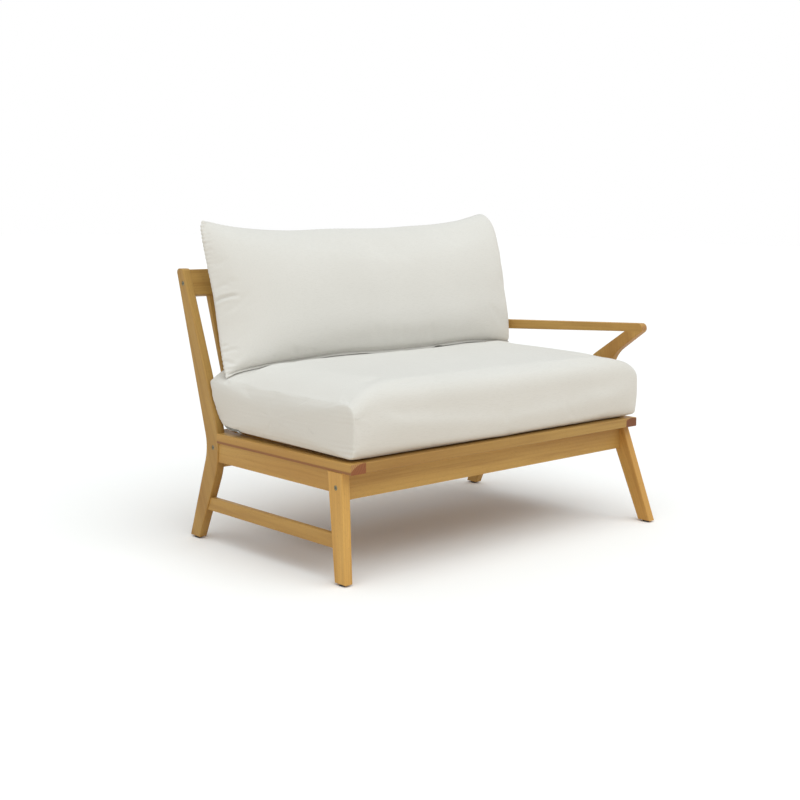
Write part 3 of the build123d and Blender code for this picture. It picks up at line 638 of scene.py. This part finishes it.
def fit_back(points):
    """Keeps the back cushion in front of the back's rails and slats and inside the arm and posts."""
    x, y, z = points.T.copy()
    rail = RAIL_FOOT_Y + (z - RAIL_FOOT_Z) * np.tan(RAIL_LEAN) - RAIL_HALF / np.cos(RAIL_LEAN)
    y = np.minimum(y, rail)
    x = np.minimum(x, ARM_INNER_X + FREE_WIDTH * smooth(z, *ABOVE_ARM_Z))
    past_post = FREE_WIDTH * (1 - smooth(y, *AHEAD_OF_POST_Y))
    x = np.maximum(x, POST_INNER_X - past_post - FREE_WIDTH * smooth(z, *ABOVE_POST_Z))
    return np.column_stack([x, y, z])


def crowded(count):
    """Shares from 0 to 1 that lie closer together near both ends."""
    ends = 0.5 - 0.5 * np.cos(np.linspace(0, math.pi, count + 1))
    return EDGE_CROWDING * ends + (1 - EDGE_CROWDING) * np.linspace(0, 1, count + 1)


def back_sheets(u, v):
    """Places of the front sheet and the rear sheet, for shares along the width and up the height."""
    foot = BACK_FOOT_FORWARD * np.clip(1 - v / FOOT_TALL_SHARE, 0, 1) ** 2
    left = curve(BACK_LEFT, v) - FOOT_SPREAD_SHARE * foot
    right = curve(BACK_RIGHT, v)
    x = left * (1 - u) + right * u
    foot = foot * (FOOT_AT_LEFT_SHARE + FOOT_GROWTH_SHARE * smooth(x, *FOOT_GROWTH_X))
    low = (resting_line(x) - BACK_ORIGIN[2]) / BACK_UP[2]
    high = curve(BACK_TOP, u)
    up = low * (1 - v) + high * v
    level = 1 - smooth(v, *LEVEL_SHARES)
    above = up - low
    near_flange = 1 - smooth(above, 0, 1.5 * FLANGE)
    for lift_x, height, reach in FLANGE_LIFTS:
        up = up + height * np.exp(-((x - lift_x) / reach) ** 2) * near_flange
    up = up + FLANGE_WAVE * (1 + np.sin(x / FLANGE_WAVE_X)) * near_flange
    ends = rise(x - left, *LEFT_SWELL) * rise(right - x, *RIGHT_SWELL)
    top_power = TOP_POWER - TOP_POWER_DROP * smooth(x, *TOP_POWER_X)
    full = ends * rise(np.maximum(above - FLANGE, 0), *LOW_SWELL) * rise(high - up, TOP_REACH, top_power)
    tuck = (TUCK * np.exp(-((above - FLANGE) / TUCK_REACH) ** 2) * smooth(x, *TUCK_FROM_X)
            * (1 - smooth(x, *TUCK_TO_X)))
    edge = FLANGE_HALF * smooth(above, 0, FLANGE_FULL_AT) * (1 - full)
    ahead = foot + (BACK_AHEAD_FULL - foot) * full + edge - tuck
    behind = foot - (BACK_BEHIND_FULL + foot) * full - edge - tuck
    return in_plane(x, up, ahead, level), in_plane(x, up, behind, level)


def build_back():
    """The back cushion's cover, and the numbers of the points that its seams and sewn edge hold."""
    us, vs = crowded(BACK_COLUMNS), crowded(BACK_ROWS)
    vs = np.concatenate([FLANGE_ROWS, vs[vs > FLANGE_ROWS_END]])
    nu, nv = len(us) - 1, len(vs) - 1
    u, v = np.meshgrid(us, vs, indexing="ij")
    verts, index = [], {}
    for side, places in enumerate(back_sheets(u, v)):
        for i in range(nu + 1):
            for j in range(nv + 1):
                if side and (i in (0, nu) or j in (0, nv)):
                    index[1, i, j] = index[0, i, j]
                    continue
                index[side, i, j] = len(verts)
                verts.append(places[i, j])
    faces = []
    for side in (0, 1):
        for i in range(nu):
            for j in range(nv):
                quad = [index[side, a, b] for a, b in ((i, j), (i + 1, j), (i + 1, j + 1), (i, j + 1))]
                faces.append(quad if side == 0 else quad[::-1])
    held = sorted({k for (side, i, j), k in index.items() if i in (0, nu) or j < HELD_ROWS or j == nv})
    return fit_back(np.array(verts)), faces, held


def points_of(mesh):
    """A mesh's points in laid-out millimetres."""
    flat = np.empty(len(mesh.vertices) * 3)
    mesh.vertices.foreach_get("co", flat)
    return flat.reshape(-1, 3) / MM + MIDDLE


def normals_of(mesh):
    flat = np.empty(len(mesh.vertices) * 3)
    mesh.vertices.foreach_get("normal", flat)
    return flat.reshape(-1, 3)


def move_points(mesh, points):
    mesh.vertices.foreach_set("co", place(points).ravel())
    mesh.update()


def tree_of(piece):
    """The surface of a piece, in laid-out millimetres, to find places on."""
    mesh = piece.data
    return BVHTree.FromPolygons([tuple(p) for p in points_of(mesh)], [tuple(p.vertices) for p in mesh.polygons])


# Swelling
SWELL_STEPS = 20
CLOTH = {
    "quality": 6, "mass": 0.25, "tension_stiffness": 25, "compression_stiffness": 25, "shear_stiffness": 12,
    "bending_stiffness": 0.6, "use_pressure": True, "vertex_group_mass": "held",
}
SEAT_SWELL = {"pressure": 3.0, "spare": 0.0015, "cap": 5.0}
BACK_SWELL = {"pressure": 4.0, "spare": 0.006, "cap": 8.0}
SEAT_HELD_BELOW = 332
CALM_X = (1000, 1135)        # towards the back cushion's low arm-side corner the swelling fades, or it would crease
CALM_Z = (660, 800)
CUSHION_GAP = 0.9
RESTS_BELOW = 600
RESTS_AHEAD_OF = 665
FROM_ABOVE = 700.0


def swell(piece, held, pressure, spare, cap):
    """Blender's cloth swells a cushion between its held points; spare is its extra cloth, cap its longest move."""
    start = points_of(piece.data)
    group = piece.vertex_groups.new(name="held")
    group.add([int(i) for i in np.flatnonzero(held)], 1.0, "REPLACE")
    fabric = piece.modifiers.new("fabric", "CLOTH")
    for key, value in CLOTH.items():
        setattr(fabric.settings, key, value)
    fabric.settings.uniform_pressure_force = pressure
    fabric.settings.shrink_min = -spare
    fabric.settings.effector_weights.gravity = 0
    fabric.point_cache.frame_start = 1
    fabric.point_cache.frame_end = SWELL_STEPS
    for step in range(1, SWELL_STEPS + 1):
        scene.frame_set(step)
    shaped = piece.evaluated_get(bpy.context.evaluated_depsgraph_get()).to_mesh()
    moved = points_of(shaped) - start
    piece.modifiers.remove(fabric)
    piece.vertex_groups.remove(group)
    scene.frame_set(1)
    far = np.linalg.norm(moved, axis=1)[:, None] + 1e-9
    return start + moved / far * cap * np.tanh(far / cap)


def swell_seat(piece):
    """Held along its two end seams and where it lies on the boards."""
    points = points_of(piece.data)
    seam = np.minimum(np.abs(points[:, 0] - SEAT_LEFT), np.abs(points[:, 0] - SEAT_RIGHT)) < 0.5
    move_points(piece.data, fit_seat(swell(piece, seam | (points[:, 2] < SEAT_HELD_BELOW), **SEAT_SWELL)))


def swell_back(piece, held):
    """Held along its seams and its sewn edge."""
    points = points_of(piece.data)
    edge = np.zeros(len(points), bool)
    edge[held] = True
    swollen = swell(piece, edge, **BACK_SWELL)
    calm = smooth(points[:, 0], *CALM_X) * (1 - smooth(points[:, 2], *CALM_Z))
    move_points(piece.data, fit_back(swollen + (points - swollen) * calm[:, None]))


def refine(piece):
    """One subdivision, applied."""
    finer = piece.modifiers.new("finer", "SUBSURF")
    finer.levels = 1
    finer.render_levels = 1
    mesh = bpy.data.meshes.new_from_object(piece.evaluated_get(bpy.context.evaluated_depsgraph_get()))
    piece.modifiers.remove(finer)
    piece.data = mesh
    mesh.polygons.foreach_set("use_smooth", [True] * len(mesh.polygons))


def rest_on(piece, below):
    """Lifts the lower points of the back cushion off the seat cushion."""
    points = points_of(piece.data)
    tree = tree_of(below)
    for k in np.flatnonzero((points[:, 2] < RESTS_BELOW) & (points[:, 1] < RESTS_AHEAD_OF)):
        hit = tree.ray_cast(Vector((points[k, 0], points[k, 1], FROM_ABOVE)), Vector((0, 0, -1)))[0]
        if hit is not None:
            points[k, 2] = max(points[k, 2], hit.z + CUSHION_GAP)
    move_points(piece.data, points)


# Puckers beside seams: depth, pitch and seed of each seam's
GATHER_REACH = 9.0
BACK_LEFT_PUCKERS = (1.1, 13.0, 1.0)
BACK_RIGHT_PUCKERS = (0.8, 15.0, 2.0)
BACK_TOP_PUCKERS = (0.5, 17.0, 3.0)
BACK_LOW_PUCKERS = (0.25, 21.0, 4.0)
SEAT_LEFT_PUCKERS = (0.7, 14.0, 1.5)
SEAT_RIGHT_PUCKERS = (0.6, 15.0, 2.5)
BACK_TALL = 460.0
BACK_FIRST_X = 30
BACK_WIDE = 1160.0
# Creases on the front of the back cushion: points in (x, up the seam plane), depth and half-width
BACK_CREASES = [
    ([(26, 233), (33, 225), (47, 231), (70, 233), (98, 227)], 5.0, 4.5),
    ([(41, 262), (60, 268), (78, 261)], 1.2, 5.0),
    ([(22, 398), (50, 399)], 1.6, 4.0),
    ([(22, 86), (34, 91), (44, 88)], 2.2, 4.0),
    ([(25, 71), (45, 75), (66, 70)], 1.8, 5.0),
    ([(22, 44), (34, 36), (48, 30)], 2.2, 4.5),
    ([(31, 192), (38, 199)], 1.5, 4.0),
]
CREASE_STARTS = (-0.25, 0.12)
CREASE_FADES = (0.45, 1.0)
RIDGE = 0.3                  # a ridge beside each crease, this share of its depth
RIDGE_PLACE = 2.4


def gather(distance, along, depth, pitch, seed):
    """Little puckers beside a seam, fading away from it."""
    wave = np.sin(2 * math.pi * along / pitch + 1.8 * np.sin(along / 37.0 + seed))
    patchy = 0.55 + 0.45 * np.sin(along / 71.0 + 2.3 * seed)
    return depth * (np.exp(-np.maximum(distance, 0) / GATHER_REACH) * wave * patchy)


def crease(across, along, line, depth, half_width):
    """Dip along a line of places, fading to its ends, with a soft ridge beside it."""
    line = np.array(line, float)
    lengths = np.concatenate([[0], np.cumsum(np.linalg.norm(np.diff(line, axis=0), axis=1))])
    nearest = np.full(across.shape, 1e9)
    reached = np.zeros(across.shape)
    for k in range(len(line) - 1):
        step = line[k + 1] - line[k]
        t = np.clip(((across - line[k, 0]) * step[0] + (along - line[k, 1]) * step[1]) / (step @ step), 0, 1)
        away = np.hypot(across - line[k, 0] - t * step[0], along - line[k, 1] - t * step[1])
        closer = away < nearest
        nearest = np.where(closer, away, nearest)
        reached = np.where(closer, lengths[k] + t * np.linalg.norm(step), reached)
    share = reached / lengths[-1]
    fade = smooth(share, *CREASE_STARTS) * (1 - smooth(share, *CREASE_FADES))
    ridge = np.exp(-((nearest - RIDGE_PLACE * half_width) / half_width) ** 2)
    return depth * fade * (np.exp(-(nearest / half_width) ** 2) - RIDGE * ridge)


def detail_back(piece):
    """Puckers along the seam and the creases at the armless side."""
    points, normals = points_of(piece.data), normals_of(piece.data)
    x = points[:, 0]
    up = (points - BACK_ORIGIN) @ BACK_UP
    v = np.clip(up / BACK_TALL, 0, 1)
    left = x - curve(BACK_LEFT, v)
    right = curve(BACK_RIGHT, v) - x
    top = curve(BACK_TOP, np.clip((x - BACK_FIRST_X) / BACK_WIDE, 0, 1)) - up
    low = up - (resting_line(x) - BACK_ORIGIN[2]) / BACK_UP[2]
    offset = gather(left, up, *BACK_LEFT_PUCKERS) + gather(right, up, *BACK_RIGHT_PUCKERS)
    offset += gather(top, x, *BACK_TOP_PUCKERS) + gather(low, x, *BACK_LOW_PUCKERS)
    front = smooth(-normals[:, 1], 0.0, 0.3)
    for line, depth, half_width in BACK_CREASES:
        offset -= front * crease(x, up, line, depth, half_width)
    move_points(piece.data, points + normals * offset[:, None])


def detail_seat(piece):
    """Puckers along the two end seams."""
    points, normals = points_of(piece.data), normals_of(piece.data)
    x, y, z = points.T
    around = np.where(np.abs(normals[:, 2]) > 0.6, y, z)
    offset = gather(np.abs(x - SEAT_LEFT), around, *SEAT_LEFT_PUCKERS)
    offset += gather(np.abs(x - SEAT_RIGHT), around, *SEAT_RIGHT_PUCKERS)
    move_points(piece.data, points + normals * offset[:, None])


# Sewing thread and zips
THREAD_RADIUS = 0.0005
THREAD_SIDES = 6
THREAD_TAILS = [[(1, 170, 400), (1, 165, 398), (1, 160, 394), (1, 155, 390), (1, 149, 388)],
                [(12, -4, 452), (14, -4, 449), (18, -4, 446), (23, -4, 445), (29, -4, 447)]]
ZIP_STEP = 6.0
TEETH_TALL = 1.7
ZIP_PROFILE = [(-6.0, -0.4), (-5.8, 0.5), (-2.6, 0.8), (-2.0, TEETH_TALL), (2.0, TEETH_TALL), (2.6, 0.8), (5.8, 0.5),
               (6.0, -0.4)]
ZIP_EASINGS = 3
SEAT_ZIP = [(4, 505, 337), (5, 540, 342), (12, 578, 350), (30, 594, 355), (80, 597, 356), (1090, 597, 356),
            (1140, 594, 355), (1166, 580, 353), (1176, 545, 348)]
BACK_ZIP = [(150, 606, 528), (340, 606, 538), (600, 606, 538), (1052, 606, 546)]
SLIDER_OUTLINE = [(-6, -3.5), (2, -4), (4, 0), (2, 4), (-6, 3.5)]
SLIDER_THICK = 2.4
TAG_OUTLINE = [(-3, -2), (8, -3), (16, -2.4), (16, 2.4), (8, 3), (-3, 2)]
TAG_THICK = 1.1
PLATE_ROUND = 1.2


def thread_tails(piece):
    """Two short ends of sewing thread that lie on the seat cushion."""
    mesh = bmesh.new()
    mesh.from_mesh(piece.data)
    tree = BVHTree.FromBMesh(mesh)
    for line in THREAD_TAILS:
        rings = []
        for spot in place(line):
            near, normal = tree.find_nearest(Vector(spot))[:2]
            side = normal.orthogonal().normalized()
            over = normal.cross(side)
            middle = near + normal * THREAD_RADIUS
            ring = []
            for angle in np.linspace(0, 2 * math.pi, THREAD_SIDES, endpoint=False):
                ring.append(mesh.verts.new(middle + THREAD_RADIUS * (side * math.cos(angle) + over * math.sin(angle))))
            rings.append(ring)
        for one, two in zip(rings, rings[1:]):
            for k in range(THREAD_SIDES):
                after = (k + 1) % THREAD_SIDES
                mesh.faces.new((one[k], one[after], two[after], two[k])).smooth = True
        mesh.faces.new(rings[0])
        mesh.faces.new(rings[-1])
    bmesh.ops.recalc_face_normals(mesh, faces=mesh.faces[:])
    mesh.to_mesh(piece.data)
    mesh.free()


def sewn_zip(name, carrier, line, replaced):
    """A zip along a line on a cushion: two tapes with a raised row of teeth. Gives its start, way and normal."""
    tree = tree_of(carrier)
    line = np.array(line, float)
    places = np.concatenate([[0], np.cumsum(np.linalg.norm(np.diff(line, axis=0), axis=1))])
    along = np.linspace(0, places[-1], int(places[-1] / ZIP_STEP))
    path = np.column_stack([np.interp(along, places, line[:, k]) for k in range(3)])
    found = [tree.find_nearest(Vector(p))[:2] for p in path]
    spots = np.array([tuple(f[0]) for f in found])
    normals = np.array([tuple(f[1]) for f in found])
    for table in (spots, normals):
        for _ in range(ZIP_EASINGS):
            table[1:-1] = (table[:-2] + table[1:-1] * 2 + table[2:]) / 4
    normals /= np.linalg.norm(normals, axis=1)[:, None]
    ways = np.gradient(spots, axis=0)
    ways /= np.linalg.norm(ways, axis=1)[:, None]
    sides = np.cross(normals, ways)
    verts = [spots[i] + sides[i] * w + normals[i] * h for i in range(len(spots)) for w, h in ZIP_PROFILE]
    n = len(ZIP_PROFILE)
    faces = [(r * n + k, (r + 1) * n + k, (r + 1) * n + (k + 1) % n, r * n + (k + 1) % n)
             for r in range(len(spots) - 1) for k in range(n)]
    faces += [tuple(range(n)), tuple(range(len(verts) - 1, len(verts) - n - 1, -1))]
    mesh_piece(name, place(verts), faces, carrier.name, replaced, coil, soft=False)
    return spots[0] + normals[0] * TEETH_TALL, -ways[0], normals[0]


def zip_slider(name, start, way, normal, body, replaced):
    """Slider plate with a drop-shaped tag beyond the zip's end."""
    side = np.cross(normal, way)
    verts, faces = [], []
    for outline, base, thick in ((SLIDER_OUTLINE, 0.0, SLIDER_THICK), (TAG_OUTLINE, SLIDER_THICK, TAG_THICK)):
        corners = len(outline)
        rounded = rounded_loop(outline, [PLATE_ROUND] * corners, [2] * corners, [4] * corners)
        first, count = len(verts), len(rounded)
        verts += [start + way * a + side * b + normal * h for h in (base, base + thick) for a, b in rounded]
        under = tuple(range(first, first + count))
        faces += [under[::-1], tuple(k + count for k in under)]
        for k, after in zip(under, under[1:] + under[:1]):
            faces.append((k, after, after + count, k + count))
    mesh_piece(name, place(verts), faces, body, replaced, nickel, soft=False)


seat_verts, seat_faces = build_seat()
back_verts, back_faces, back_held = build_back()
seat = mesh_piece("seat_cushion", place(seat_verts), seat_faces, "seat_cushion", "seat_cushion_cover", cloth)
back = mesh_piece("back_cushion", place(back_verts), back_faces, "back_cushion", "back_cushion_cover", cloth)
swell_seat(seat)
swell_back(back, back_held)
refine(seat)
detail_seat(seat)
thread_tails(seat)
rest_on(back, seat)
refine(back)
detail_back(back)
for piece, line in ((seat, SEAT_ZIP), (back, BACK_ZIP)):
    end = sewn_zip(f"{piece.name}_zip_strip", piece, line, f"{piece.name}_zip")
    zip_slider(f"{piece.name}_zip_slider", *end, piece.name, f"{piece.name}_zip_pull")

# Floor, light and camera
FLOOR_HALF = 30
FLOOR_BOUNCE = (0.88, 0.79, 0.69, 1.0)    # warmer and darker for all but the camera, as the cushion's low parts show
PAPER_CLOUD = (1250, 1250, 1250)
ROOM_COLOUR = (0.98, 1.0, 0.99, 1.0)
ROOM_STRENGTH = 0.5
SUN_COLOUR = (0.965, 1.0, 1.0)
SUN_STRENGTH = 1.95
SUN_ANGLE = 75
SUN_WAY = (0.12, 0.4, -1.0)
# The camera was fitted to the outlines in the photo
CAMERA_AT = (-2.7383, -2.8782, 0.9971)
CAMERA_YAW = 0.792
CAMERA_PITCH = 0.080
CAMERA_ROLL = 0.018
CAMERA_LENS = 58.209
CAMERA_SHIFT = (-0.0828, -0.1122)


def seen_or_mirrored(owner):
    """1 for what the camera sees, also in gloss or glass, and 0 for what lights the object."""
    path = add(owner, "LightPath").node.outputs
    seen = add(owner, "Math", {"operation": "MAXIMUM"}, i0=path["Is Camera Ray"], i1=path["Is Glossy Ray"])
    return add(owner, "Math", {"operation": "MAXIMUM"}, i0=seen, i1=path["Is Transmission Ray"])


def lay_floor():
    """Matt white paper, which keeps the object's shadow."""
    mesh = bpy.data.meshes.new("floor")
    corners = [(x * FLOOR_HALF, y * FLOOR_HALF, 0) for x, y in ((-1, -1), (1, -1), (1, 1), (-1, 1))]
    mesh.from_pydata(corners, [], [(0, 1, 2, 3)])
    floor = bpy.data.objects.new("floor", mesh)
    scene.collection.objects.link(floor)
    paper = material("white_paper_floor")
    tint = uneven(paper, add(paper, "TexCoord", out=3), PAPER_CLOUD)
    sheet = add(paper, "Mix", COLOUR, out=2, i0=tint, i6=linear("#FFFFFF"), i7=linear("#FDFDFD"))
    colour = add(paper, "Mix", COLOUR, out=2, i0=seen_or_mirrored(paper), i6=FLOOR_BOUNCE, i7=sheet)
    surface(paper, colour, 0.9, tint, 0.02, 0.2)
    mesh.materials.append(paper)


def light_room():
    """An even pale room that looks white, and one wide soft light from above."""
    world = bpy.data.worlds.new("studio")
    scene.world = world
    world.use_nodes = True
    world.node_tree.nodes.clear()
    backdrop = add(world, "Background", Color=(1.0, 1.0, 1.0, 1.0), Strength=1.0)
    room_light = add(world, "Background", Color=ROOM_COLOUR, Strength=ROOM_STRENGTH)
    shown = add(world, "MixShader", i0=seen_or_mirrored(world), i1=room_light, i2=backdrop)
    add(world, "OutputWorld", Surface=shown)
    lamp = bpy.data.lights.new("overhead_light", "SUN")
    lamp.energy = SUN_STRENGTH
    lamp.angle = math.radians(SUN_ANGLE)
    lamp.color = SUN_COLOUR
    sun = bpy.data.objects.new("overhead_light", lamp)
    scene.collection.objects.link(sun)
    sun.rotation_euler = Vector(SUN_WAY).to_track_quat("-Z", "Y").to_euler()


def set_camera():
    yaw, pitch, roll = CAMERA_YAW, CAMERA_PITCH, CAMERA_ROLL
    ahead = Vector((math.sin(yaw) * math.cos(pitch), math.cos(yaw) * math.cos(pitch), -math.sin(pitch)))
    level = Vector((math.cos(yaw), -math.sin(yaw), 0))
    upward = level.cross(ahead)
    right = level * math.cos(roll) + upward * math.sin(roll)
    upward = upward * math.cos(roll) - level * math.sin(roll)
    data = bpy.data.cameras.new("camera")
    camera = bpy.data.objects.new("camera", data)
    scene.collection.objects.link(camera)
    camera.matrix_world = Matrix((
        (right.x, upward.x, -ahead.x, CAMERA_AT[0]),
        (right.y, upward.y, -ahead.y, CAMERA_AT[1]),
        (right.z, upward.z, -ahead.z, CAMERA_AT[2]),
        (0, 0, 0, 1),
    ))
    data.sensor_width = 36.0
    data.lens = CAMERA_LENS
    data.shift_x, data.shift_y = CAMERA_SHIFT
    data.clip_end = 200.0
    scene.camera = camera


lay_floor()
light_room()
set_camera()
